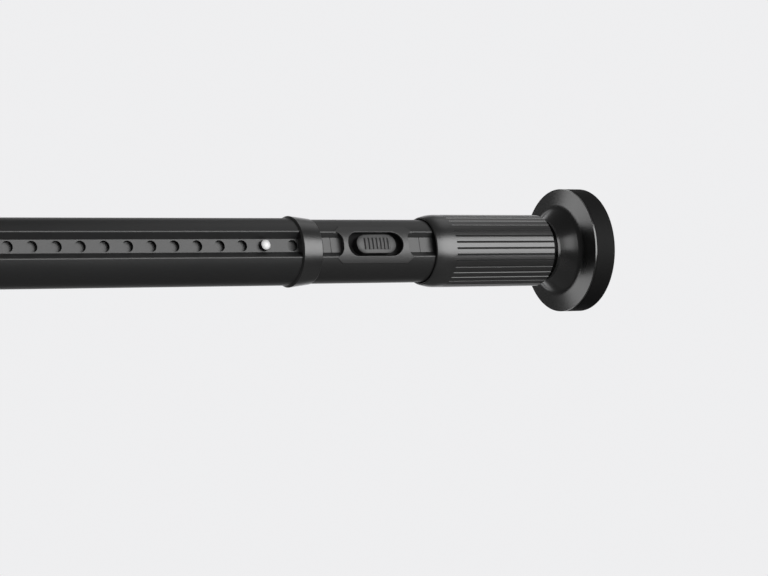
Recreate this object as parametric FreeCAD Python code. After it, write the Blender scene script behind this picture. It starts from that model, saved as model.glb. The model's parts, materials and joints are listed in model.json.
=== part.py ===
import FreeCAD, Part
import math
import os
from FreeCAD import Vector

# A spring tension rod between two walls, in millimetres.
# The rod's axis is +X, from the fixed end's wall face at the origin to the adjustable end.
# The channel pressed into the tubes faces -Y, and heights in the channel are measured from the axis.

# Tubes and their channel
tube_radius = 16.0
tube_wall = 0.6
inner_tube_wall = 0.8
channel_depth = 4.1
channel_floor_half_width = 3.2
channel_lip_round = 0.8
channel_floor_round = 0.5
inner_channel_drop = 1.2
telescope_gap = 0.25
seat_gap = 0.1
exposed_inner_length = 50.0
outer_tube_showing = 200.0

# Row of index holes and the snap button
hole_radius = 2.7
hole_pitch = 11.6
hole_count = 13
last_hole_from_collar = 18.1
assembly_hole_from_collar = 3.0
button_radius = 2.5
button_side_gap = 0.25
button_stand = 2.7
button_dome_height = 2.2
button_foot_radius = 3.4
button_foot_thickness = 1.0
leaf_thickness = 0.5
leaf_width = 5.0
leaf_tab_length = 7.6
leaf_length = 30.0
leaf_bend_radius = 6.0

# Collars at the two ends of the outer tube
collar_wall = 1.0
collar_length = 11.4
collar_tube_depth = 8.0
collar_edge = 0.4
collar_bevel_length = 0.75
collar_bevel_drop = 0.85
entry_lip = 3.0
spigot_length = 8.0
bush_lip = 1.4
bush_length = 3.5
bush_wall = 1.5

# Lock tube, bezel and thumb slide
lock_wall = 2.0
left_pocket_length = 11.5
right_pocket_length = 15.5
pocket_depth = 2.9
pocket_floor_half_width = 3.6
pocket_wall_deg = 35.0
pocket_lip_round = 0.8
pocket_end_round = 5.0
left_land = 2.5
right_land = 2.9
left_floor_line = 5.8
right_floor_line = 7.9
floor_line_width = 0.3
floor_line_depth = 0.2
tray_depth = 5.5
tray_undercut = 1.0
shelf_thickness = 2.0
floor_skin = 1.0
bezel_half_width = 9.0
bezel_margin = 6.6
bezel_corner = 3.8
bezel_thickness = 1.2
bezel_stand = 0.25
bezel_gap = 0.05
bezel_edge = 0.25
thumb_length = 21.6
thumb_width = 9.0
thumb_end_gap = 0.8
thumb_side_gap = 1.3
thumb_floor_gap = 0.3
thumb_stand = 0.3
thumb_crown = 1.1
thumb_ridge_count = 7
thumb_ridge_pitch = 2.1
thumb_ridge_height = 0.75
thumb_ridge_width = 1.5
thumb_ridge_half_length = 2.8
lock_travel_back = 4.4
lock_travel_forward = 2.8
stem_length = 6.0
stem_width = 3.0
stem_gap = 0.3
bar_thickness = 1.5
bar_width = 6.0
bar_tip_width = 2.4
bar_tip_length = 3.5
bar_side_gap = 0.2
bar_tip_gap = 1.0

# Twist grip with its ring, nut and bearings
grip_gap = 0.3
grip_wall = 2.2
grip_nose_length = 8.0
grip_nose_drop = 1.3
grip_nose_edge = 0.4
grip_overlap = 22.3
grip_neck_cover = 29.55
groove_count = 36
groove_width = 1.0
groove_floor_width = 0.15
groove_depth = 0.5
groove_start = 10.8
grip_end_edge = 0.3
lead_in = 0.3
mouth_chamfer = 0.9
washer_thickness = 0.6
washer_width = 3.2
play = 0.05
ring_thickness = 3.0
notch_count = 12
notch_gap = 0.3
ring_hub_gap = 0.6
hub_gap = 0.25
web_thickness = 4.0
clip_thickness = 1.0
clip_width = 2.4
clip_groove_depth = 0.5
clip_opening_deg = 70.0
hub_end = 1.0
nut_across_flats = 22.0
nut_thickness = 6.8

# Spindle and its guide
spindle_radius = 4.0
spindle_flat = 3.2
thread_gap = 0.25
guide_length = 11.0
spindle_tail = 20.0
rivet_radius = 1.5
rivet_depth = 4.2
journal_radius = 3.2
peen_radius = 4.2
peen_height = 0.8
head_thickness = 4.0
head_gap = 0.3

# Wall flanges, pads and the tension spring
flange_radius = 31.0
flange_rim = 0.9
dish_radius = 21.65
dish_depth = 2.9
flare_run = 8.2
flare_bow = 0.4
crease_round = 5.0
neck_lip = 1.4
neck_relief_length = 7.4
neck_relief_depth = 1.8
flange_length = 39.75
flange_floor = 6.4
neck_wall = 2.8
neck_travel_room = 6.0
cap_thickness = 2.0
cap_spigot = 2.0
pad_thickness = 11.3
pad_edge = 0.8
pad_boss_radius = 9.0
pad_boss_height = 3.0
fixed_flange_length = 19.6
fixed_neck_wall = 2.75
fixed_socket_floor = 5.6
plug_length = 20.0
screw_radius = 2.0
screw_length = 18.0
screw_head_radius = 4.0
screw_head_height = 2.6
screw_gap = 0.2
spring_wire_radius = 1.1
spring_turns = 6.0
spring_side_gap = 0.7

# Section sizes that follow from the tubes
floor_height = tube_radius - channel_depth
bore_inset = tube_wall
inner_inset = tube_wall + telescope_gap
inner_bore_inset = inner_inset + inner_tube_wall
lock_inset = tube_wall + seat_gap
lock_radius = tube_radius - lock_inset
pocket_floor = lock_radius - pocket_depth
tray_floor = lock_radius - tray_depth
lock_bore = lock_radius - lock_wall
shelf = tray_floor - shelf_thickness
bar_top = tray_floor - floor_skin - bar_side_gap
bar_bottom = bar_top - bar_thickness
collar_radius = tube_radius + collar_wall
grip_bore = lock_radius + grip_gap
grip_radius = grip_bore + grip_wall
neck_radius = grip_bore - grip_gap
neck_bore = neck_radius - neck_wall
ring_bore = bar_bottom - notch_gap
hub_radius = ring_bore - ring_hub_gap
head_radius = neck_bore - head_gap
fixed_neck_radius = tube_radius - inner_inset + fixed_neck_wall

# Places along the rod, from the fixed wall face
x_fixed_socket = pad_thickness + fixed_socket_floor
x_fixed_neck = pad_thickness + fixed_flange_length
x_outer = x_fixed_neck + exposed_inner_length
x_collar = x_outer + outer_tube_showing
x_button = x_collar - last_hole_from_collar
x_spigot = x_collar - spigot_length
x_inner_end = x_spigot - seat_gap - bush_lip - play
x_collar_end = x_collar + collar_length
x_pocket_end = x_collar_end + left_pocket_length
x_window = x_pocket_end + left_land
window_length = thumb_length + lock_travel_back + lock_travel_forward + 2 * thumb_end_gap
window_width = thumb_width + 2 * thumb_side_gap
x_window_end = x_window + window_length
x_pocket_start = x_window_end + right_land
x_thumb = x_window + thumb_end_gap + lock_travel_back
x_thumb_middle = x_thumb + thumb_length / 2
x_grip = x_pocket_start + right_pocket_length
x_lock_end = x_grip + grip_overlap
x_washer = x_lock_end + play
x_ring = x_washer + washer_thickness + play
x_web = x_ring + ring_thickness
x_web_end = x_web + web_thickness
x_clip = x_web_end + 2 * play
x_hub_end = x_clip + clip_thickness + hub_end
x_nut = x_hub_end + play
x_nut_end = x_nut + nut_thickness
x_cap = x_nut_end + neck_travel_room
x_neck = x_cap + cap_thickness
x_head = x_neck + cap_spigot + seat_gap
x_head_end = x_head + head_thickness
x_grip_end = x_nut_end + grip_neck_cover
x_pad = x_neck + flange_length - cap_thickness
x_spring_floor = x_pad - flange_floor
x_wall = x_pad + pad_thickness


def rod(x_from, x_to, radius):
    """Solid round bar on the rod's axis."""
    return Part.makeCylinder(radius, x_to - x_from, Vector(x_from, 0, 0), Vector(1, 0, 0))


def ring(x_from, x_to, radius, bore):
    """Round ring on the rod's axis."""
    return rod(x_from, x_to, radius).cut(rod(x_from, x_to, bore))


def block(x_from, x_to, low, high, width):
    """Box between two heights in the channel, centred on the channel."""
    return Part.makeBox(x_to - x_from, high - low, width, Vector(x_from, -high, -width / 2))


def post(x, low, high, radius):
    """Round post along the channel's normal."""
    return Part.makeCylinder(radius, high - low, Vector(x, -low, 0), Vector(0, -1, 0))


def turned(outline):
    """Solid turned about the rod's axis from (x, radius) points.

    A pair of points in the outline is an arc through the first to the second.
    """
    edges = []
    last = outline[0]
    for step in outline[1:] + [outline[0]]:
        if isinstance(step[0], tuple):
            middle, end = step
            curve = Part.Arc(*[Vector(x, radius, 0) for x, radius in (last, middle, end)])
        else:
            end = step
            curve = Part.LineSegment(Vector(last[0], last[1], 0), Vector(end[0], end[1], 0))
        edges.append(curve.toShape())
        last = end
    face = Part.Face(Part.Wire(edges))
    return face.revolve(Vector(0, 0, 0), Vector(1, 0, 0), 360)


def long_edges(solid, half_width, height):
    """Edges along X at one height and distance from the channel's middle."""
    found = []
    for edge in solid.Edges:
        start, end = edge.Vertexes[0].Point, edge.Vertexes[-1].Point
        in_place = abs(abs(start.z) - half_width) < 1e-4 and abs(start.y + height) < 1e-4
        if in_place and abs(end.y - start.y) < 1e-4 and abs(end.z - start.z) < 1e-4:
            found.append(edge)
    return found


def channel_bar(x_from, x_to, inset, drop=0):
    """Solid bar of the tube's outside section, shrunk all round by the inset.

    The drop carries the channel's sloping walls on down to a deeper floor.
    """
    radius = tube_radius - inset
    floor = floor_height - inset
    half_width = channel_floor_half_width + inset * math.tan(math.radians(22.5))
    reach = (half_width + floor) / 2
    rise = math.sqrt(reach ** 2 - (half_width ** 2 + floor ** 2 - radius ** 2) / 2) - reach
    lip_half_width = half_width + rise
    lip_height = floor + rise
    half_width -= drop
    floor -= drop
    lip = Vector(x_from, -lip_height, lip_half_width)
    corner = Vector(x_from, -floor, half_width)
    far_corner = Vector(x_from, -floor, -half_width)
    far_lip = Vector(x_from, -lip_height, -lip_half_width)
    back = Part.Arc(far_lip, Vector(x_from, radius, 0), lip)
    sides = [Part.LineSegment(lip, corner), Part.LineSegment(corner, far_corner)]
    sides += [Part.LineSegment(far_corner, far_lip), back]
    face = Part.Face(Part.Wire([side.toShape() for side in sides]))
    solid = face.extrude(Vector(x_to - x_from, 0, 0))
    solid = solid.makeFillet(channel_lip_round, long_edges(solid, lip_half_width, lip_height))
    return solid.makeFillet(channel_floor_round, long_edges(solid, half_width, floor))


def pocket_cut(x_open, x_end):
    """Cutter for a channel pocket in the lock tube, with rounded lips and one rounded end."""
    slope = math.radians(pocket_wall_deg)
    along = (math.cos(slope), math.sin(slope))
    base = (
        pocket_floor_half_width + pocket_lip_round * math.sin(slope),
        pocket_floor - pocket_lip_round * math.cos(slope),
    )
    reach = base[0] * along[0] + base[1] * along[1]
    centre_radius = lock_radius - pocket_lip_round
    climb = math.sqrt(reach ** 2 - base[0] ** 2 - base[1] ** 2 + centre_radius ** 2) - reach
    centre = (base[0] + climb * along[0], base[1] + climb * along[1])
    touch = (pocket_floor_half_width + climb * along[0], pocket_floor + climb * along[1])
    crest = tuple(size * lock_radius / centre_radius for size in centre)
    top = tuple(size * (lock_radius + lock_wall) / centre_radius for size in centre)
    bow = (touch[0] + crest[0] - 2 * centre[0], touch[1] + crest[1] - 2 * centre[1])
    stretch = pocket_lip_round / math.hypot(*bow)
    middle = (centre[0] + bow[0] * stretch, centre[1] + bow[1] * stretch)
    floor_corner = (pocket_floor_half_width, pocket_floor)
    corners = (floor_corner, touch, middle, crest, top)
    right = [Vector(x_open, -height, across) for across, height in corners]
    left = [Vector(point.x, point.y, -point.z) for point in right]
    sides = [Part.LineSegment(left[0], right[0]), Part.LineSegment(right[4], left[4])]
    for half in (left, right):
        sides += [Part.LineSegment(half[0], half[1]), Part.LineSegment(half[3], half[4])]
        sides.append(Part.Arc(*half[1:4]))
    outline = Part.Wire(Part.__sortEdges__([side.toShape() for side in sides]))
    groove = Part.Face(outline).extrude(Vector(x_end - x_open, 0, 0))
    plan_width = 2 * (crest[0] + pocket_lip_round / 4)
    plan = block(min(x_open, x_end), max(x_open, x_end), 0, lock_radius + lock_wall, plan_width)
    uprights = []
    for edge in plan.Edges:
        if all(abs(vertex.Point.x - x_end) < 1e-6 for vertex in edge.Vertexes):
            if abs(edge.Vertexes[0].Point.z - edge.Vertexes[1].Point.z) < 1e-6:
                uprights.append(edge)
    return groove.common(plan.makeFillet(pocket_end_round, uprights))


def stadium(x_from, x_to, width, low, high):
    """Upright solid with a stadium outline, between two heights in the channel."""
    half = width / 2
    body = block(x_from + half, x_to - half, low, high, width)
    for x in (x_from + half, x_to - half):
        body = body.fuse(post(x, low, high, half))
    return body.removeSplitter()


def flatted(x_from, x_to, radius, flat):
    """Round bar with two flats, facing +Z and -Z."""
    flats = Part.makeBox(x_to - x_from, 2 * radius, 2 * flat, Vector(x_from, -radius, -flat))
    return rod(x_from, x_to, radius).common(flats)


def flange_outline(x_face, toward, neck_radius_here, neck_length):
    """Outside of a wall flange, from its rim at the pad to the end of its neck."""
    flare_rise = dish_radius - neck_radius_here
    chord = math.hypot(flare_run, flare_rise)
    middle_run = dish_depth + flare_run / 2 - flare_bow * flare_rise / chord
    middle_radius = (dish_radius + neck_radius_here) / 2 - flare_bow * flare_run / chord
    middle = (x_face + toward * middle_run, middle_radius)
    straight = (x_face + toward * (dish_depth + flare_run), neck_radius_here)
    return [
        (x_face, flange_radius),
        (x_face + toward * flange_rim, flange_radius),
        (x_face + toward * dish_depth, dish_radius),
        (middle, straight),
        (x_face + toward * neck_length, neck_radius_here),
    ]


def soften_crease(flange):
    """Rounds the circle where a flange's dish meets its flare."""
    circles = []
    for edge in flange.Edges:
        if isinstance(edge.Curve, Part.Circle) and abs(edge.Curve.Radius - dish_radius) < 1e-6:
            circles.append(edge)
    return flange.makeFillet(crease_round, circles)


def make_pad(x_wall_face, toward):
    """Rubber pad with rounded edges and a boss that plugs into its flange."""
    x_front = x_wall_face + toward * pad_thickness
    edge = pad_edge * (1 - math.sqrt(0.5))
    return turned([
        (x_wall_face, 0),
        (x_wall_face, flange_radius - pad_edge),
        (
            (x_wall_face + toward * edge, flange_radius - edge),
            (x_wall_face + toward * pad_edge, flange_radius),
        ),
        (x_front - toward * pad_edge, flange_radius),
        ((x_front - toward * edge, flange_radius - edge), (x_front, flange_radius - pad_edge)),
        (x_front, pad_boss_radius),
        (x_front + toward * pad_boss_height, pad_boss_radius),
        (x_front + toward * pad_boss_height, 0),
    ])


def make_fixed_pad():
    """Pad of the fixed end, hollowed where the screw's head stands."""
    x_boss = pad_thickness + pad_boss_height
    return make_pad(0, 1).cut(rod(pad_thickness, x_boss, screw_head_radius + screw_gap))


def make_fixed_flange():
    outline = [(pad_thickness, 0)]
    outline += flange_outline(pad_thickness, 1, fixed_neck_radius, fixed_flange_length)
    outline += [(x_fixed_neck, 0)]
    body = soften_crease(turned(outline))
    boss_room = rod(pad_thickness, pad_thickness + pad_boss_height, pad_boss_radius + seat_gap)
    socket = channel_bar(x_fixed_socket, x_fixed_neck, inner_inset - seat_gap, inner_channel_drop)
    screw_hole = rod(pad_thickness, x_fixed_socket, screw_radius + screw_gap)
    return body.cut(boss_room).cut(socket).cut(screw_hole)


def make_fixed_plug():
    x_to = x_fixed_socket + plug_length
    plug = channel_bar(x_fixed_socket, x_to, inner_bore_inset + seat_gap, inner_channel_drop)
    return plug.cut(rod(x_fixed_socket, x_to, screw_radius + play))


def make_fixed_flange_screw():
    """Pan-head screw with a cross recess, from the flange's back into the plug."""
    x_seat = pad_thickness + pad_boss_height
    x_top = x_seat - screw_head_height
    crown = screw_head_height / 4
    shank_end = x_seat + screw_length
    screw = turned([
        (x_top, 0),
        ((x_top + crown / 4, screw_head_radius / 2), (x_top + crown, screw_head_radius)),
        (x_seat, screw_head_radius),
        (x_seat, screw_radius),
        (shank_end - screw_radius, screw_radius),
        (shank_end, 0),
    ])
    recess_depth = screw_head_height / 2
    recess_width = screw_head_radius / 4
    span = 1.2 * screw_head_radius
    upright = Part.makeBox(recess_depth, recess_width, span, Vector(x_top, -recess_width / 2, -span / 2))
    across = Part.makeBox(recess_depth, span, recess_width, Vector(x_top, -span / 2, -recess_width / 2))
    return screw.cut(upright).cut(across)


def make_inner_tube():
    tube = channel_bar(x_fixed_socket, x_inner_end, inner_inset, inner_channel_drop)
    tube = tube.cut(channel_bar(x_fixed_socket, x_inner_end, inner_bore_inset, inner_channel_drop))
    return tube.cut(post(x_button, 0, tube_radius, button_radius + button_side_gap))


def make_inner_tube_bush():
    """Plastic bush in the inner tube's open end, which runs inside the outer tube."""
    x_from = x_inner_end - bush_length
    x_to = x_inner_end + bush_lip
    plug_inset = inner_bore_inset + seat_gap
    lip = channel_bar(x_inner_end, x_to, bore_inset + seat_gap)
    plug = channel_bar(x_from, x_inner_end, plug_inset, inner_channel_drop)
    bore = channel_bar(x_from, x_to, plug_inset + bush_wall, inner_channel_drop)
    return lip.fuse(plug).cut(bore)


button_foot_top = floor_height - inner_bore_inset - inner_channel_drop - play
button_foot_bottom = button_foot_top - button_foot_thickness
button_top = floor_height + button_stand


def make_snap_button():
    """Domed steel button on a foot that keeps it inside the inner tube."""
    shoulder = button_top - button_dome_height
    cap_radius = (button_radius ** 2 + button_dome_height ** 2) / (2 * button_dome_height)
    half_angle = math.asin(button_radius / cap_radius) / 2
    middle = (button_top - cap_radius * (1 - math.cos(half_angle)), cap_radius * math.sin(half_angle))
    button = turned([
        (button_foot_bottom, 0),
        (button_foot_bottom, button_foot_radius),
        (button_foot_top, button_foot_radius),
        (button_foot_top, button_radius),
        (shoulder, button_radius),
        (middle, (button_top, 0)),
    ])
    button.rotate(Vector(0, 0, 0), Vector(0, 0, 1), -90)
    button.translate(Vector(x_button, 0, 0))
    return button


def make_snap_spring():
    """Bent leaf that holds the button out, braced on the tube's far wall."""
    half = leaf_thickness / 2
    tab_height = button_foot_bottom - play - half
    far_reach = tube_radius - inner_bore_inset
    brace_height = leaf_thickness - math.sqrt(far_reach ** 2 - (leaf_width / 2) ** 2)
    x_tab_end = x_button + button_foot_radius
    x_tab = x_tab_end - leaf_tab_length
    x_bend = x_tab_end - leaf_length + leaf_bend_radius
    bend_height = (tab_height + brace_height) / 2
    legs = []
    for x, height, side in ((x_tab, tab_height, 1), (x_tab_end, brace_height, -1)):
        run = x - x_bend
        rise = side * (height - bend_height)
        slope = math.atan2(rise, run)
        swing = slope + math.acos(leaf_bend_radius / math.hypot(run, rise))
        touch_x = x_bend + leaf_bend_radius * math.cos(swing)
        touch_height = bend_height + side * leaf_bend_radius * math.sin(swing)
        legs.append((Vector(touch_x, -touch_height, 0), Vector(x, -height, 0)))
    (upper_touch, upper_end), (lower_touch, lower_end) = legs
    apex = Vector(x_bend - leaf_bend_radius, -bend_height, 0)
    path = Part.Wire([
        Part.LineSegment(Vector(x_tab_end, -tab_height, 0), upper_end).toShape(),
        Part.LineSegment(upper_end, upper_touch).toShape(),
        Part.Arc(upper_touch, apex, lower_touch).toShape(),
        Part.LineSegment(lower_touch, lower_end).toShape(),
    ])
    leaf = Part.Face(path.makeOffset2D(half, 0, False, False)).extrude(Vector(0, 0, leaf_width))
    leaf.translate(Vector(0, 0, -leaf_width / 2))
    return leaf


def make_outer_tube():
    x_end = x_collar + collar_tube_depth
    tube = channel_bar(x_outer, x_end, 0).cut(channel_bar(x_outer, x_end, bore_inset))
    places = [x_button - index * hole_pitch for index in range(hole_count)]
    places.append(x_collar - assembly_hole_from_collar)
    return tube.cut(Part.makeCompound([post(x, 0, tube_radius, hole_radius) for x in places]))


def make_entry_collar():
    """Plain ring on the outer tube's open end, with a lip that guides the inner tube."""
    x_from = x_outer - entry_lip
    x_to = x_from + collar_length
    body = rod(x_from, x_to, collar_radius)
    body = body.makeFillet(collar_edge, [edge for edge in body.Edges if len(edge.Vertexes) == 1])
    body = body.cut(channel_bar(x_from, x_outer, inner_inset - telescope_gap, inner_channel_drop))
    return body.cut(channel_bar(x_outer - play, x_to, -play))


def make_front_collar():
    """Ring that tapers from the outer tube down to the lock tube."""
    x_step = x_collar + collar_tube_depth + play
    body = turned([
        (x_collar, 0),
        (x_collar, collar_radius - collar_bevel_drop),
        (x_collar + collar_bevel_length, collar_radius),
        (x_collar_end - collar_edge, lock_radius + collar_edge),
        (x_collar_end, lock_radius + seat_gap + play),
        (x_collar_end, 0),
    ])
    body = body.cut(channel_bar(x_collar, x_step, -play))
    return body.cut(channel_bar(x_step, x_collar_end, lock_inset - seat_gap, inner_channel_drop))


def bezel_outline(grow):
    """Long octagon round the window, as a prism that passes through the lock tube's wall."""
    x_from = x_window - bezel_margin - grow
    x_to = x_window_end + bezel_margin + grow
    half = bezel_half_width + grow
    waist = half - bezel_corner * 0.75
    points = [(x_from, -waist), (x_from + bezel_corner, -half), (x_to - bezel_corner, -half)]
    points += [(x_to, -waist), (x_to, waist), (x_to - bezel_corner, half)]
    points += [(x_from + bezel_corner, half), (x_from, waist)]
    corners = [Vector(x, 0, across) for x, across in points]
    face = Part.Face(Part.makePolygon(corners + corners[:1]))
    return face.extrude(Vector(0, -lock_radius - lock_wall, 0))


def window_cut(grow):
    top = lock_radius + lock_wall
    return stadium(x_window - grow, x_window_end + grow, window_width + 2 * grow, tray_floor, top)


def pocket_cuts():
    left = pocket_cut(x_collar_end, x_pocket_end)
    right = pocket_cut(x_lock_end, x_pocket_start)
    return left.fuse(right)


x_stem = x_thumb_middle - stem_length / 2
x_bar = x_stem - bar_width / 2
x_bar_tip = x_ring - bar_tip_gap


def make_lock_tube():
    """Moulded tube with two channel pockets, the slide's tray and a shelf that guides its bar."""
    x_round = x_collar_end + play
    body = rod(x_round, x_lock_end, lock_radius)
    body = body.fuse(channel_bar(x_spigot, x_round, lock_inset, inner_channel_drop))
    void = rod(x_spigot, x_lock_end, lock_bore)
    shelf_block = block(x_spigot, x_lock_end, shelf, tube_radius, 4 * tube_radius)
    body = body.cut(void.cut(shelf_block))
    body = body.cut(pocket_cuts()).cut(window_cut(tray_undercut))
    inlay = ring(x_collar_end, x_grip, tube_radius, lock_radius - bezel_thickness + bezel_stand - bezel_gap)
    body = body.cut(inlay.common(bezel_outline(bezel_gap)))
    groove_x = x_bar - lock_travel_back - bar_side_gap
    groove_width_here = bar_width + 2 * bar_side_gap
    body = body.cut(block(groove_x, x_lock_end, 0, bar_top + bar_side_gap, groove_width_here))
    slot_x = x_stem - lock_travel_back - stem_gap
    slot_end = x_stem + stem_length + lock_travel_forward + stem_gap
    body = body.cut(block(slot_x, slot_end, 0, tube_radius, stem_width + 2 * stem_gap))
    line_depth = pocket_floor - floor_line_depth
    for x in (x_pocket_end - left_floor_line, x_pocket_start + right_floor_line):
        body = body.cut(block(x, x + floor_line_width, line_depth, pocket_floor, 2 * pocket_floor_half_width))
    for direction in (1, -1):
        body = body.cut(make_rivet(direction, play))
    return body


def make_lock_bezel():
    """Matt inlay round the thumb slide's window, forked round the ends of the pockets."""
    top = lock_radius + bezel_stand
    plate = ring(x_collar_end, x_grip, top, top - bezel_thickness).common(bezel_outline(0))
    plate = plate.cut(pocket_cuts()).cut(window_cut(0))
    rims = []
    for edge in plate.Edges:
        middle = edge.valueAt((edge.FirstParameter + edge.LastParameter) / 2)
        ends = [vertex.Point for vertex in edge.Vertexes]
        on_top = all(abs(math.hypot(point.y, point.z) - top) < play / 10 for point in ends + [middle])
        along = x_window - play < middle.x < x_window_end + play
        if on_top and along and abs(middle.z) < window_width / 2 + play:
            rims.append(edge)
    return plate.makeFillet(bezel_edge, rims)


def make_lock_thumb():
    """Thumb slide with a crowned top, cross ridges and a stem that reaches its bar."""
    bottom = tray_floor + thumb_floor_gap
    top = lock_radius + thumb_stand
    x_to = x_thumb + thumb_length
    crowned = turned([
        (x_thumb, 0),
        (x_thumb, top - thumb_crown),
        ((x_thumb_middle, top), (x_to, top - thumb_crown)),
        (x_to, 0),
    ])
    thumb = stadium(x_thumb, x_to, thumb_width, bottom, tube_radius + thumb_stand).common(crowned)
    reach = 2 * thumb_ridge_half_length
    strip = block(x_thumb, x_to, bottom, tube_radius + thumb_stand, reach)
    first = x_thumb_middle - thumb_ridge_pitch * (thumb_ridge_count - 1) / 2
    crown_radius = ((thumb_length / 2) ** 2 + thumb_crown ** 2) / (2 * thumb_crown)
    for index in range(thumb_ridge_count):
        x = first + index * thumb_ridge_pitch
        base = top - crown_radius + math.sqrt(crown_radius ** 2 - (x - x_thumb_middle) ** 2)
        half = thumb_ridge_width / 2
        ridge = turned([
            (x - half, base - thumb_ridge_height),
            (x - half, base),
            ((x, base + thumb_ridge_height), (x + half, base)),
            (x + half, base - thumb_ridge_height),
        ])
        thumb = thumb.fuse(ridge.common(strip))
    stem = block(x_stem, x_stem + stem_length, bar_bottom, bottom, stem_width)
    return thumb.fuse(stem)


def make_lock_bar():
    """Flat bar from the thumb slide to the notched ring in the grip."""
    x_neck_of_tip = x_bar_tip - bar_tip_length
    bar = block(x_bar, x_neck_of_tip, bar_bottom, bar_top, bar_width)
    bar = bar.fuse(block(x_neck_of_tip, x_bar_tip, bar_bottom, bar_top, bar_tip_width)).removeSplitter()
    hole = block(x_stem - play, x_stem + stem_length + play, bar_bottom, bar_top, stem_width + 2 * play)
    return bar.cut(hole)


def make_rivet(direction, grow):
    """Headless rivet across the lock tube's wall into the guide, on one side."""
    x = x_lock_end - guide_length / 2
    outside = lock_radius - rivet_radius ** 2 / lock_radius
    start = Vector(x, 0, direction * (outside - rivet_depth - grow))
    length = rivet_depth + (tube_radius if grow else 0)
    return Part.makeCylinder(rivet_radius + grow, length, start, Vector(0, 0, direction))


def make_guide_rivets():
    return Part.makeCompound([make_rivet(direction, 0) for direction in (1, -1)])


def make_spindle_guide():
    """Plug in the lock tube's end, with a flatted bore and a hub that carries the grip."""
    x_from = x_lock_end - guide_length
    plug = rod(x_from, x_lock_end, lock_bore - seat_gap)
    plug = plug.cut(block(x_from, x_lock_end, shelf - seat_gap, tube_radius, 4 * tube_radius))
    bar_room = bar_width + 2 * bar_side_gap
    plug = plug.cut(block(x_from, x_lock_end, bar_bottom - bar_side_gap, tube_radius, bar_room))
    guide = plug.fuse(rod(x_from, x_hub_end, hub_radius))
    clip_room = ring(x_clip - play, x_clip + clip_thickness + play, lock_bore, hub_radius - clip_groove_depth)
    guide = guide.cut(clip_room)
    guide = guide.cut(flatted(x_from, x_hub_end, spindle_radius + thread_gap, spindle_flat + thread_gap))
    for direction in (1, -1):
        guide = guide.cut(make_rivet(direction, play))
    return guide


def make_retaining_ring():
    """Open spring ring in the hub's groove, which keeps the grip on its hub."""
    bore = hub_radius - clip_groove_depth + play
    clip = ring(x_clip, x_clip + clip_thickness, bore + clip_width, bore)
    reach = 2 * (bore + clip_width)
    spread = reach * math.tan(math.radians(clip_opening_deg / 2))
    wedge = [Vector(x_clip, 0, 0), Vector(x_clip, reach, spread), Vector(x_clip, reach, -spread)]
    opening = Part.Face(Part.makePolygon(wedge + wedge[:1])).extrude(Vector(clip_thickness, 0, 0))
    return clip.cut(opening)


def hexagon(x_from, x_to, across_flats):
    corner = across_flats / math.sqrt(3)
    turn = [math.radians(60 * index) for index in range(7)]
    points = [Vector(x_from, corner * math.cos(a), corner * math.sin(a)) for a in turn]
    return Part.Face(Part.makePolygon(points)).extrude(Vector(x_to - x_from, 0, 0))


def make_grip_sleeve():
    """Fluted twist grip with a web that turns on the guide's hub and a socket for the nut."""
    x_full = x_grip + grip_nose_length
    nose_bottom = grip_radius - grip_nose_drop
    bulge = (x_grip + grip_nose_length / 2, grip_radius - grip_nose_drop / 4)
    body = turned([
        (x_grip, 0),
        (x_grip, nose_bottom - grip_nose_edge),
        (x_grip + grip_nose_edge, nose_bottom),
        (bulge, (x_full, grip_radius)),
        (x_grip_end - grip_end_edge, grip_radius),
        (x_grip_end, grip_radius - grip_end_edge),
        (x_grip_end, 0),
    ])
    body = body.cut(rod(x_grip, x_web, grip_bore)).cut(rod(x_nut_end, x_grip_end, grip_bore))
    body = body.cut(rod(x_web, x_web_end, hub_radius + hub_gap))
    clip_radius = hub_radius - clip_groove_depth + play + clip_width + hub_gap
    body = body.cut(rod(x_web_end, x_nut, clip_radius))
    body = body.cut(hexagon(x_nut, x_nut_end, nut_across_flats + seat_gap))
    mouth = turned([
        (x_grip_end - 2 * mouth_chamfer, 0),
        (x_grip_end - 2 * mouth_chamfer, grip_bore),
        (x_grip_end, grip_bore + mouth_chamfer),
        (x_grip_end, 0),
    ])
    lead = turned([
        (x_grip, 0),
        (x_grip, grip_bore + lead_in),
        (x_grip + 2 * lead_in, grip_bore),
        (x_grip + 2 * lead_in, 0),
    ])
    body = body.cut(mouth).cut(lead)
    x_from = x_grip + groove_start
    x_to = x_grip_end
    flare = (groove_width - groove_floor_width) / groove_depth
    grooves = []
    for index in range(groove_count):
        points = []
        for height in (grip_radius - groove_depth, grip_radius + groove_depth):
            half = (groove_floor_width + flare * (height - grip_radius + groove_depth)) / 2
            points.append((Vector(x_from, -height, -half), Vector(x_from, -height, half)))
        (low_left, low_right), (high_left, high_right) = points
        section = Part.Face(Part.makePolygon([low_left, low_right, high_right, high_left, low_left]))
        groove = section.extrude(Vector(x_to - x_from, 0, 0))
        groove.rotate(Vector(0, 0, 0), Vector(1, 0, 0), 360 * index / groove_count)
        grooves.append(groove)
    return body.cut(Part.makeCompound(grooves))


def make_lock_ring():
    """Steel ring pressed into the grip, with notches that take the tip of the bar."""
    body = ring(x_ring, x_web - play, grip_bore - play, ring_bore)
    notch_width = bar_tip_width + 2 * notch_gap
    notch_top = math.hypot(bar_top, bar_tip_width / 2) + notch_gap
    notches = []
    for index in range(notch_count):
        notch = block(x_ring, x_web, 0, notch_top, notch_width)
        notch.rotate(Vector(0, 0, 0), Vector(1, 0, 0), 360 * index / notch_count)
        notches.append(notch)
    return body.cut(Part.makeCompound(notches))


def make_thrust_washer():
    outside = lock_radius
    return ring(x_washer, x_washer + washer_thickness, outside, outside - washer_width)


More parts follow.
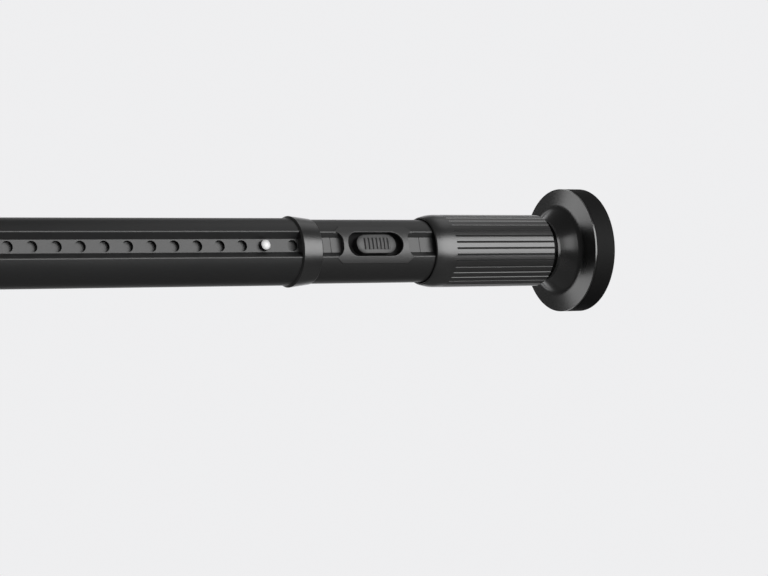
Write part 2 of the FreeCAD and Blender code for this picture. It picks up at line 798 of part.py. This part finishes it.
def make_drive_nut():
    nut = hexagon(x_nut, x_nut_end, nut_across_flats)
    corner = nut_across_flats / math.sqrt(3)
    chamfer = corner - nut_across_flats / 2
    blank = turned([
        (x_nut, 0),
        (x_nut, nut_across_flats / 2),
        (x_nut + chamfer / 2, corner),
        (x_nut_end, corner),
        (x_nut_end, 0),
    ])
    return nut.common(blank).cut(rod(x_nut, x_nut_end, spindle_radius + thread_gap))


def make_spindle():
    """Screw with two flats along its length and a peened journal for its head."""
    x_from = x_lock_end - guide_length - spindle_tail
    body = flatted(x_from, x_head, spindle_radius, spindle_flat)
    body = body.fuse(rod(x_head, x_head_end + play, journal_radius))
    peen = turned([
        (x_head_end + play, 0),
        (x_head_end + play, peen_radius),
        (x_head_end + play + peen_height / 2, peen_radius),
        (x_head_end + play + peen_height, journal_radius),
        (x_head_end + play + peen_height, 0),
    ])
    return body.fuse(peen)


def make_spindle_head():
    return ring(x_head + play, x_head_end, head_radius, journal_radius + play)


def make_wall_flange():
    """Flared flange with a hollow neck, which slides in the grip and holds the spring."""
    outline = [(x_pad, 0)]
    outline += flange_outline(x_pad, -1, neck_radius, x_pad - x_neck)
    outline += [(x_neck, 0)]
    body = soften_crease(turned(outline)).cut(rod(x_neck, x_spring_floor, neck_bore))
    x_lip = x_pad - dish_depth - flare_run - neck_lip
    relief_radius = neck_radius - neck_relief_depth
    body = body.cut(ring(x_lip - neck_relief_length, x_lip, neck_radius + play, relief_radius))
    return body.cut(rod(x_pad - pad_boss_height - seat_gap, x_pad, pad_boss_radius + seat_gap))


def make_neck_cap():
    """Cap pressed into the neck's end, which keeps the spindle's head inside."""
    flange = rod(x_cap, x_neck - play, neck_radius)
    spigot = rod(x_neck - play, x_neck + cap_spigot, neck_bore - seat_gap)
    return flange.fuse(spigot).cut(rod(x_cap, x_neck + cap_spigot, spindle_radius + head_gap))


def make_tension_spring():
    """Coil spring between the spindle's head and the flange's floor."""
    x_from = x_head_end + spring_wire_radius + seat_gap
    length = x_spring_floor - seat_gap - spring_wire_radius - x_from
    coil_radius = neck_bore - spring_side_gap - spring_wire_radius
    helix = Part.makeHelix(length / spring_turns, length, coil_radius)
    wire_end = Part.Circle(Vector(coil_radius, 0, 0), Vector(0, 1, 0), spring_wire_radius).toShape()
    coil = Part.Wire(helix.Edges).makePipeShell([Part.Wire([wire_end])], True, True)
    coil.rotate(Vector(0, 0, 0), Vector(0, 1, 0), 90)
    coil.translate(Vector(x_from, 0, 0))
    return coil


def make_wall_pad():
    return make_pad(x_wall, -1)


pieces = {
    "fixed_pad": make_fixed_pad,
    "fixed_flange": make_fixed_flange,
    "fixed_plug": make_fixed_plug,
    "fixed_flange_screw": make_fixed_flange_screw,
    "inner_tube": make_inner_tube,
    "inner_tube_bush": make_inner_tube_bush,
    "snap_spring": make_snap_spring,
    "snap_button": make_snap_button,
    "outer_tube": make_outer_tube,
    "entry_collar": make_entry_collar,
    "front_collar": make_front_collar,
    "lock_tube": make_lock_tube,
    "lock_bezel": make_lock_bezel,
    "spindle_guide": make_spindle_guide,
    "guide_rivets": make_guide_rivets,
    "retaining_ring": make_retaining_ring,
    "lock_thumb": make_lock_thumb,
    "lock_bar": make_lock_bar,
    "grip_sleeve": make_grip_sleeve,
    "drive_nut": make_drive_nut,
    "lock_ring": make_lock_ring,
    "thrust_washer": make_thrust_washer,
    "spindle": make_spindle,
    "spindle_head": make_spindle_head,
    "wall_flange": make_wall_flange,
    "neck_cap": make_neck_cap,
    "wall_pad": make_wall_pad,
    "tension_spring": make_tension_spring,
}

os.makedirs("parts", exist_ok=True)
for name, make in pieces.items():
    shape = make()
    shape.exportStep("parts/" + name + ".step")
    print(name, shape.ShapeType, len(shape.Solids), shape.isValid(), round(shape.Volume, 2))
print("wall to wall", round(x_wall, 2), "collar face", round(x_collar, 2))
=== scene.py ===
import json
import math
import bpy
from mathutils import Matrix, Vector


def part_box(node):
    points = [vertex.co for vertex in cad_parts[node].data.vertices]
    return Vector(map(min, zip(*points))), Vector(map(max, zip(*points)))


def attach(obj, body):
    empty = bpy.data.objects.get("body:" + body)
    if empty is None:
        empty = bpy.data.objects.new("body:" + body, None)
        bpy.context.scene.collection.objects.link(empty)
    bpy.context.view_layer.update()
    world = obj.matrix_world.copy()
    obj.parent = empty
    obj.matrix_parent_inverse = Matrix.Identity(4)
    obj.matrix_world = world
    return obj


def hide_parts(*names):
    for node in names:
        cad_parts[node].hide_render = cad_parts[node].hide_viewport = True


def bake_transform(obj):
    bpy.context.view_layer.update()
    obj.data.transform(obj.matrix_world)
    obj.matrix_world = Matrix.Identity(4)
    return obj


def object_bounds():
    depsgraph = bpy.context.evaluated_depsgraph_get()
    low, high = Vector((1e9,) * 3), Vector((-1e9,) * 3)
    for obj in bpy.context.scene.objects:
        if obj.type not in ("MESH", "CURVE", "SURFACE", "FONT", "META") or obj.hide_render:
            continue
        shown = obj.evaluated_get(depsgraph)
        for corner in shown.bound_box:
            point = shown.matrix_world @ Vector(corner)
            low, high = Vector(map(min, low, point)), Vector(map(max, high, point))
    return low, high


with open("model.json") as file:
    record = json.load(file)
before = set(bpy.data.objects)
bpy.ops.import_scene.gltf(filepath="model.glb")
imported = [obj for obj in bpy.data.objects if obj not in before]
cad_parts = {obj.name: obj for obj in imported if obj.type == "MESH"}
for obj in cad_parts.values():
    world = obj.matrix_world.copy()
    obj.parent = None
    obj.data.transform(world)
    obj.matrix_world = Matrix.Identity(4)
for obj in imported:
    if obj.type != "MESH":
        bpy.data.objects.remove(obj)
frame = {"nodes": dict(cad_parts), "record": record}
cad_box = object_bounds()
nodes = frame["nodes"]

# Everything is in metres, in the rod's own frame: +X along the rod, the channel facing -Y.
MM = 0.001
ALONG, ACROSS, ABOVE = range(3)

# Snap button: the dome of its solid and the lower cap that it is shaped to.
BUTTON_RADIUS = 2.5 * MM
DOME_HEIGHT = 2.2 * MM
CAP_HEIGHT = 0.95 * MM

# Grip sleeve: the smooth nose before its ribs.
NOSE_LENGTH = 10.4 * MM

# Tray under the thumb slide, where the lock tube's colour carries painted shade, measured from the
# bezel's ends, the tube's skin and its axis.
TRAY_FROM_BEZEL_END = 5 * MM
TRAY_BELOW_SKIN = 1.2 * MM
TRAY_HALF_HEIGHT = 7 * MM
TRAY_FROM_AXIS = 5 * MM

# Thumb slide: how far down from its top the pale top colour reaches, before painted shade darkens its
# sides.
PALE_TOP_DEPTH = 1.4 * MM

# Copies of solids: the weld distance and the sharpest edge that is shaded as round.
WELD = 0.0005 * MM
ROUND_EDGE = math.radians(40)


class Value:
    """One output of a shader node: sums and products of values add Math nodes."""

    def __init__(self, finish, socket):
        self.finish = finish
        self.socket = socket

    def maths(self, operation, first, second):
        return self.finish.add("ShaderNodeMath", {"operation": operation}, {0: first, 1: second})

    def __add__(self, other):
        return self.maths("ADD", self, other)

    __radd__ = __add__

    def __mul__(self, other):
        return self.maths("MULTIPLY", self, other)

    __rmul__ = __mul__

    def __sub__(self, other):
        return self.maths("SUBTRACT", self, other)

    def __rsub__(self, other):
        return self.maths("SUBTRACT", other, self)

    def or_more(self, other):
        """The greater of two values."""
        return self.maths("MAXIMUM", self, other)


class Finish:
    """One material: a surface shader and the nodes that vary it."""

    def __init__(self, name, **surface):
        self.material = bpy.data.materials.new(name)
        self.material.use_nodes = True
        self.tree = self.material.node_tree
        self.shader = self.tree.nodes["Principled BSDF"]
        for label, value in surface.items():
            self.set(label.replace("_", " "), value)

    def set(self, label, value):
        socket = self.shader.inputs[label]
        if isinstance(value, Value):
            self.tree.links.new(value.socket, socket)
        else:
            socket.default_value = value

    def add(self, kind, settings=None, inputs=None, output=0):
        """Adds a node, sets it up, then sets or links its inputs."""
        node = self.tree.nodes.new(kind)
        for label, value in (settings or {}).items():
            setattr(node, label, value)
        for label, value in (inputs or {}).items():
            if isinstance(value, Value):
                self.tree.links.new(value.socket, node.inputs[label])
            else:
                node.inputs[label].default_value = value
        return Value(self, node.outputs[output])

    def place(self, stretch=(1, 1, 1)):
        """Object coordinates, stretched."""
        where = self.add("ShaderNodeTexCoord", output=3)
        return self.add("ShaderNodeMapping", None, {"Vector": where, "Scale": stretch})

    def axis(self, axis):
        """Object coordinate on one axis."""
        return self.add("ShaderNodeSeparateXYZ", None, {0: self.place()}, axis)

    def noise(self, grain, stretch=(1, 1, 1), detail=2.0):
        """Noise with features of about the grain's size, in metres."""
        inputs = {"Vector": self.place(stretch), "Scale": 1 / grain, "Detail": detail}
        return self.add("ShaderNodeTexNoise", None, inputs)

    def ramp(self, value, low, high):
        """Rises from 0 to 1 between two values."""
        smooth = {"interpolation_type": "SMOOTHSTEP"}
        return self.add("ShaderNodeMapRange", smooth, {0: value, 1: low, 2: high})

    def mix(self, mask, low, high):
        """Colour between two others, by a mask."""
        colours = [colour if isinstance(colour, Value) else (*colour, 1) for colour in (low, high)]
        inputs = {0: mask, 6: colours[0], 7: colours[1]}
        return self.add("ShaderNodeMix", {"data_type": "RGBA"}, inputs, output=2)

    def rays(self, *kinds):
        """Light Path's values for these kinds of ray."""
        return [self.add("ShaderNodeLightPath", output=kind) for kind in kinds]

    def bump(self, height, depth, strength=1.0):
        inputs = {"Height": height, "Distance": depth, "Strength": strength}
        self.set("Normal", self.add("ShaderNodeBump", None, inputs))

    def tint(self, mask, low, high):
        """Base colour between two greys or colours, by a mask."""
        self.set("Base Color", self.mix(mask, low, high))


def grey(level, warmth=0.0):
    return (level * (1 + warmth), level, level * (1 - warmth))


def satin_tube_paint():
    finish = Finish("satin_tube_paint", Coat_Weight=0.15, Coat_Roughness=0.36)
    grain = finish.noise(0.5 * MM, detail=3)
    cloud = finish.noise(30 * MM)
    finish.tint(cloud, grey(0.009, -0.02), grey(0.013, -0.02))
    finish.set("Roughness", 0.38 + 0.06 * cloud + 0.04 * grain)
    finish.bump(grain, 0.008 * MM)
    return finish.material


def satin_moulding():
    finish = Finish("satin_moulding", Coat_Weight=1.0, Coat_Roughness=0.3)
    grain = finish.noise(0.35 * MM, detail=3)
    cloud = finish.noise(22 * MM)
    finish.tint(cloud, grey(0.005), grey(0.008))
    finish.set("Roughness", 0.29 + 0.05 * cloud + 0.03 * grain)
    finish.bump(grain, 0.004 * MM)
    return finish.material


def ribbed_moulding(sleeve):
    """Satin moulding whose grooves stay duller than its ribs, with painted shade darkening the grooves'
    colour.
    """
    low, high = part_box(sleeve)
    rib_radius = (high[2] - low[2]) / 2
    finish = Finish("ribbed_moulding", Coat_Roughness=0.3)
    grain = finish.noise(0.35 * MM, detail=3)
    cloud = finish.noise(22 * MM)
    across, above = finish.axis(ACROSS), finish.axis(ABOVE)
    radius = finish.add("ShaderNodeMath", {"operation": "SQRT"}, {0: across * across + above * above})
    on_rib = finish.ramp(radius, rib_radius - 0.3 * MM, rib_radius - 0.06 * MM)
    nose_end = low[0] + NOSE_LENGTH
    on_nose = finish.ramp(finish.axis(ALONG), nose_end + 0.2 * MM, nose_end - 0.2 * MM)
    smooth = on_rib.or_more(on_nose)
    # Painted shade: the grooves are coloured darker than the ribs and the smooth nose.
    finish.tint(smooth, grey(0.003), grey(0.007))
    finish.set("Roughness", 0.29 + 0.05 * cloud + 0.03 * grain + 0.3 * (1 - smooth))
    finish.set("Coat Weight", smooth)
    finish.bump(grain, 0.004 * MM)
    return finish.material


def gloss_moulding():
    finish = Finish("gloss_moulding", Coat_Weight=1.0, Coat_Roughness=0.24)
    cloud = finish.noise(18 * MM)
    finish.tint(cloud, grey(0.004), grey(0.007))
    finish.set("Roughness", 0.24 + 0.05 * cloud)
    return finish.material


def dull_moulding(tube, bezel):
    """Lock tube's moulding, duller still in the tray under the thumb slide, where painted shade darkens
    its colour.
    """
    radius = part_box(tube)[1][2]
    low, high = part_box(bezel)
    finish = Finish("dull_moulding", Coat_Roughness=0.4)
    grain = finish.noise(0.4 * MM, detail=3)
    cloud = finish.noise(20 * MM)
    along, across, above = [finish.axis(axis) for axis in (ALONG, ACROSS, ABOVE)]
    start, end = low[0] + TRAY_FROM_BEZEL_END, high[0] - TRAY_FROM_BEZEL_END
    after_start = finish.ramp(along, start, start + 0.5 * MM)
    before_end = finish.ramp(along, end, end - 0.5 * MM)
    sunk = finish.ramp(across, TRAY_BELOW_SKIN - radius, TRAY_BELOW_SKIN + 1 * MM - radius)
    near_window = finish.ramp(above * above, (TRAY_HALF_HEIGHT + 1 * MM) ** 2, TRAY_HALF_HEIGHT ** 2)
    in_front = finish.ramp(across, -TRAY_FROM_AXIS, -TRAY_FROM_AXIS - 1 * MM)
    in_tray = after_start * before_end * sunk * near_window * in_front
    # Painted shade: the tray under the thumb slide is coloured darker than the rest of the lock tube.
    finish.tint(in_tray, grey(0.0075), grey(0.002))
    finish.set("Roughness", 0.4 + 0.06 * cloud + 0.04 * grain + 0.4 * in_tray)
    finish.set("Coat Weight", 0.4 - 0.4 * in_tray)
    finish.bump(grain, 0.006 * MM)
    return finish.material


def grained_moulding():
    finish = Finish("grained_moulding", Specular_IOR_Level=0.9)
    grain = finish.noise(0.45 * MM, detail=4)
    finish.tint(grain, grey(0.01), grey(0.016))
    finish.set("Roughness", 0.42 + 0.12 * grain)
    finish.bump(grain, 0.03 * MM)
    return finish.material


def side_shaded_moulding(thumb):
    """Thumb slide's moulding, paler on top, with painted shade darkening it down its sides into the tray.
    """
    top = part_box(thumb)[0][1]
    finish = Finish("side_shaded_moulding", Specular_IOR_Level=0.55)
    grain = finish.noise(0.5 * MM, detail=4)
    cloud = finish.noise(5 * MM)
    pale_top = finish.ramp(finish.axis(ACROSS), top + PALE_TOP_DEPTH + 0.8 * MM, top + PALE_TOP_DEPTH)
    # Painted shade: the thumb slide darkens from its pale top down its sides into the tray.
    finish.tint(pale_top, grey(0.002), grey(0.045))
    finish.set("Roughness", 0.38 + 0.1 * grain + 0.05 * cloud + 0.4 * (1 - pale_top))
    finish.bump(grain, 0.02 * MM)
    return finish.material


def pad_rubber():
    finish = Finish("pad_rubber", Specular_IOR_Level=0.15)
    grain = finish.noise(0.6 * MM, detail=3)
    cloud = finish.noise(14 * MM)
    finish.tint(cloud, grey(0.0035), grey(0.006))
    finish.set("Roughness", 0.62 + 0.1 * cloud)
    finish.bump(grain, 0.02 * MM)
    return finish.material


def plain_steel():
    finish = Finish("plain_steel", Metallic=1.0)
    streak = finish.noise(1.2 * MM, stretch=(0.12, 1, 1))
    finish.tint(streak, (0.44, 0.45, 0.47), (0.58, 0.59, 0.6))
    finish.set("Roughness", 0.26 + 0.14 * streak)
    return finish.material


def capped_nickel(button):
    """Pale nickel on the button's cap, and painted shade darkening its side inside the hole."""
    finish = Finish("capped_nickel", Metallic=0.25)
    low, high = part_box(button)
    off, above = finish.axis(ALONG) - (low[0] + high[0]) / 2, finish.axis(ABOVE)
    cap_edge, side_edge = BUTTON_RADIUS - 0.16 * MM, BUTTON_RADIUS - 0.03 * MM
    side = finish.ramp(off * off + above * above, cap_edge ** 2, side_edge ** 2)
    # Painted shade: the button's side, down in its hole, is coloured near black.
    finish.tint(side, grey(0.6), grey(0.01))
    finish.set("Roughness", 0.46 + 0.1 * finish.noise(1.5 * MM))
    return finish.material


def spring_steel():
    finish = Finish("spring_steel", Metallic=1.0)
    cloud = finish.noise(4 * MM)
    finish.tint(cloud, (0.3, 0.31, 0.33), (0.42, 0.42, 0.43))
    finish.set("Roughness", 0.3 + 0.12 * cloud)
    return finish.material


def turned_brass():
    finish = Finish("turned_brass", Metallic=1.0)
    streak = finish.noise(0.8 * MM, stretch=(1, 0.2, 0.2))
    finish.tint(streak, (0.6, 0.42, 0.18), (0.74, 0.56, 0.28))
    finish.set("Roughness", 0.24 + 0.12 * streak)
    return finish.material


def inner_moulding():
    finish = Finish("inner_moulding", Specular_IOR_Level=0.5)
    cloud = finish.noise(9 * MM)
    finish.tint(cloud, grey(0.03), grey(0.045))
    finish.set("Roughness", 0.5 + 0.1 * cloud)
    return finish.material


FINISH_OF_SLOT = {
    "tube_paint": satin_tube_paint(),
    "satin_moulding": satin_moulding(),
    "gloss_moulding": gloss_moulding(),
    "matt_moulding": grained_moulding(),
    "inner_moulding": inner_moulding(),
    "pad_rubber": pad_rubber(),
    "bright_button": capped_nickel("snap_button"),
    "plain_steel": plain_steel(),
    "spring_steel": spring_steel(),
    "nut_brass": turned_brass(),
}


def dress(piece, material):
    piece.data.materials.clear()
    piece.data.materials.append(material)


for row in frame["record"]["subparts"]:
    dress(nodes[row["node"]], FINISH_OF_SLOT[row["material_slot"]])
dress(nodes["lock_tube"], dull_moulding("lock_tube", "lock_bezel"))
dress(nodes["grip_sleeve"], ribbed_moulding("grip_sleeve"))
dress(nodes["lock_thumb"], side_shaded_moulding("lock_thumb"))


def welded_copy(name, node, slot):
    """Copy of a solid, welded so that it can be shaped, shown in the solid's place."""
    bpy.ops.object.select_all(action="DESELECT")
    solid = nodes[node]
    piece = bpy.data.objects.new(name, solid.data.copy())
    piece.matrix_world = solid.matrix_world
    bpy.context.scene.collection.objects.link(piece)
    bpy.context.view_layer.objects.active = piece
    piece.select_set(True)
    bpy.ops.object.transform_apply(location=True, rotation=True, scale=True)
    bpy.ops.mesh.customdata_custom_splitnormals_clear()
    bpy.ops.object.mode_set(mode="EDIT")
    bpy.ops.mesh.select_all(action="SELECT")
    bpy.ops.mesh.remove_doubles(threshold=WELD)
    bpy.ops.object.mode_set(mode="OBJECT")
    bpy.ops.object.shade_smooth_by_angle(angle=ROUND_EDGE)
    dress(piece, FINISH_OF_SLOT[slot])
    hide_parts(node)
    return piece


def give_along(piece, node, axis, from_high):
    """Works out a spring's ends along one axis, which nothing then uses, and bakes the piece's transform
    into its mesh.
    """
    ends = [Vector(corner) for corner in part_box(node)]
    if from_high:
        ends.reverse()
    still, moving = Vector((0, 0, 0)), Vector((0, 0, 0))
    still[axis], moving[axis] = ends[0][axis], ends[1][axis]
    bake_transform(piece)


def flat_capped_button():
    """Snap button with a straight side and a low cap, as tall as its solid."""
    button = welded_copy("flat_capped_button", "snap_button", "bright_button")
    low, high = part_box("snap_button")
    tip = Vector(((low[0] + high[0]) / 2, low[1], 0))
    dome_foot = tip.y + DOME_HEIGHT + 0.02 * MM
    bpy.ops.object.mode_set(mode="EDIT")
    bpy.ops.mesh.select_mode(type="VERT")
    bpy.ops.mesh.select_all(action="DESELECT")
    bpy.ops.object.mode_set(mode="OBJECT")
    for vertex in button.data.vertices:
        vertex.select = vertex.co.y < dome_foot
    bpy.ops.object.mode_set(mode="EDIT")
    bpy.ops.transform.resize(value=(1, CAP_HEIGHT / DOME_HEIGHT, 1), center_override=tip)
    bpy.ops.object.mode_set(mode="OBJECT")
    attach(button, "snap_button")


flat_capped_button()
button_leaf = welded_copy("button_leaf", "snap_spring", "spring_steel")
give_along(button_leaf, "snap_spring", ACROSS, from_high=True)
flange_coil = welded_copy("flange_coil", "tension_spring", "spring_steel")
give_along(flange_coil, "tension_spring", ALONG, from_high=False)

# Camera, found by fitting the photo's outlines to the rod's real size.
IMAGE_WIDTH = 768
IMAGE_HEIGHT = 576
FOCAL_PIXELS = 2400
CAMERA_TURN = math.radians(30.98)
CAMERA_RISE = math.radians(-0.89)
CAMERA_ROLL = math.radians(-0.32)
CHANNEL_TILT = math.radians(14.2)
SEEN_AT = (286.33, 251.85)
SEEN_DEPTH = 1.13708


def photo_camera():
    """Camera that sees the rod's axis at the front collar's left face where the photo has it."""
    forward = Vector((
        math.sin(CAMERA_TURN) * math.cos(CAMERA_RISE),
        math.cos(CAMERA_TURN) * math.cos(CAMERA_RISE),
        math.sin(CAMERA_RISE),
    ))
    level = Vector((math.cos(CAMERA_TURN), -math.sin(CAMERA_TURN), 0))
    upright = level.cross(forward)
    right = math.cos(CAMERA_ROLL) * level + math.sin(CAMERA_ROLL) * upright
    up = math.cos(CAMERA_ROLL) * upright - math.sin(CAMERA_ROLL) * level
    across = (SEEN_AT[0] - IMAGE_WIDTH / 2) / FOCAL_PIXELS * SEEN_DEPTH
    above = (IMAGE_HEIGHT / 2 - SEEN_AT[1]) / FOCAL_PIXELS * SEEN_DEPTH
    place = -(right * across + up * above + forward * SEEN_DEPTH)
    turn = Matrix((right, up, -forward)).transposed().to_4x4()
    tilt = Matrix.Rotation(CHANNEL_TILT, 4, "X")
    collar_face = Vector((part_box("front_collar")[0][0], 0, 0))
    data = bpy.data.cameras.new("photo_camera")
    data.sensor_width = 36
    data.lens = FOCAL_PIXELS / IMAGE_WIDTH * data.sensor_width
    camera = bpy.data.objects.new("photo_camera", data)
    camera.matrix_world = Matrix.Translation(collar_face) @ tilt @ Matrix.Translation(place) @ turn
    bpy.context.scene.collection.objects.link(camera)
    bpy.context.scene.camera = camera


photo_camera()

# Studio: soft panels round the rod and a pale backdrop behind it.
# Directions are the photo's own, with the rod's channel turned up by the tilt.
LIT_PLACE_ALONG_ROD = 0.75
MIDDLE = Vector((cad_box[0][0] + LIT_PLACE_ALONG_ROD * (cad_box[1][0] - cad_box[0][0]), 0, 0))
ROOM = Matrix.Rotation(CHANNEL_TILT, 3, "X")
BACKDROP_TURN = 149
PALE = (0.86, 0.86, 0.87)
FLOOR_DROP = 0.6
FLOOR_RADIUS = 1.0
FLOOR_SOLID_RADIUS = 0.4
FLOOR_RIM_RADIUS = 0.98
FLOOR_LIFT = grey(0.74)
RAYS_THAT_SHOW_THE_BACKDROP = ("Is Camera Ray", "Is Glossy Ray", "Is Transmission Ray")


def room_way(turn_deg, rise_deg):
    """Direction from the rod, turned from the front towards the adjustable end, then raised."""
    turn, rise = math.radians(turn_deg), math.radians(rise_deg)
    level = math.cos(rise)
    return ROOM @ Vector((math.sin(turn) * level, -math.cos(turn) * level, math.sin(rise)))


def soft_panel(name, turn_deg, rise_deg, distance, width, height, brightness):
    """Rectangular lamp that faces the rod from one direction."""
    data = bpy.data.lights.new(name, "AREA")
    data.shape = "RECTANGLE"
    data.size = width
    data.size_y = height
    data.energy = brightness * math.pi * width * height
    lamp = bpy.data.objects.new(name, data)
    way = room_way(turn_deg, rise_deg)
    lamp.location = MIDDLE + way * distance
    lamp.rotation_euler = (-way).to_track_quat("-Z", "Y").to_euler()
    bpy.context.scene.collection.objects.link(lamp)


# Each panel: turn and rise in degrees, distance, width and height in metres, brightness.
soft_panel("front_panel", 22, 15, 1.3, 1.4, 1.15, 4.6)
soft_panel("left_panel", -36, 20, 1.3, 0.45, 0.85, 1.8)
soft_panel("top_panel", 106, 60, 1.2, 1.0, 0.45, 0.5)
soft_panel("back_left_panel", 229, 0, 1.3, 0.6, 1.2, 1.9)


class Surround(Finish):
    """The world: a dim room in front of the rod and a pale backdrop behind it."""

    def __init__(self, room_light, dim, pale):
        world = bpy.data.worlds.new("studio")
        bpy.context.scene.world = world
        world.use_nodes = True
        self.tree = world.node_tree
        camera_ray, glossy_ray, clear_ray = self.rays(*RAYS_THAT_SHOW_THE_BACKDROP)
        ways = {0: self.add("ShaderNodeTexCoord"), 1: room_way(BACKDROP_TURN, 0)}
        facing = self.add("ShaderNodeVectorMath", {"operation": "DOT_PRODUCT"}, ways, output=1)
        behind = self.ramp(facing, 0.75, 1.0)
        shown = self.mix(camera_ray.or_more(behind), dim, pale)
        seen = camera_ray.or_more(glossy_ray).or_more(clear_ray)
        colour = self.mix(seen, room_light, shown)
        self.tree.links.new(colour.socket, self.tree.nodes["Background"].inputs["Color"])


def floor_paint(middle):
    """Pale paint, lifted to the backdrop's level where the picture shows it, thinning out to the rim."""
    finish = Finish("floor_paint", Base_Color=(*grey(0.2), 1), Roughness=0.9, Specular_IOR_Level=0.1)
    along, across = finish.axis(ALONG) - middle.x, finish.axis(ACROSS) - middle.y
    rim = finish.ramp(along * along + across * across, FLOOR_SOLID_RADIUS ** 2, FLOOR_RIM_RADIUS ** 2)
    finish.set("Alpha", 1 - rim)
    camera_ray, glossy_ray, clear_ray = finish.rays(*RAYS_THAT_SHOW_THE_BACKDROP)
    lift = camera_ray + 0.1 * glossy_ray + clear_ray
    finish.set("Emission Color", finish.mix(lift, grey(0), FLOOR_LIFT))
    finish.set("Emission Strength", 1.0)
    return finish.material


def pale_floor():
    """Round floor under the rod, level in the rod's own frame."""
    bpy.ops.object.select_all(action="DESELECT")
    below = Vector(((cad_box[0][0] + cad_box[1][0]) / 2, 0, cad_box[0][2] - FLOOR_DROP))
    bpy.ops.mesh.primitive_circle_add(vertices=128, radius=FLOOR_RADIUS, fill_type="NGON", location=below)
    floor = bpy.context.object
    floor.name = "pale_floor"
    bpy.ops.object.transform_apply(location=True, rotation=True, scale=True)
    dress(floor, floor_paint(below))


pale_floor()
Surround(room_light=grey(0.12), dim=grey(0.08), pale=PALE)
bpy.context.scene.view_settings.view_transform = "Standard"
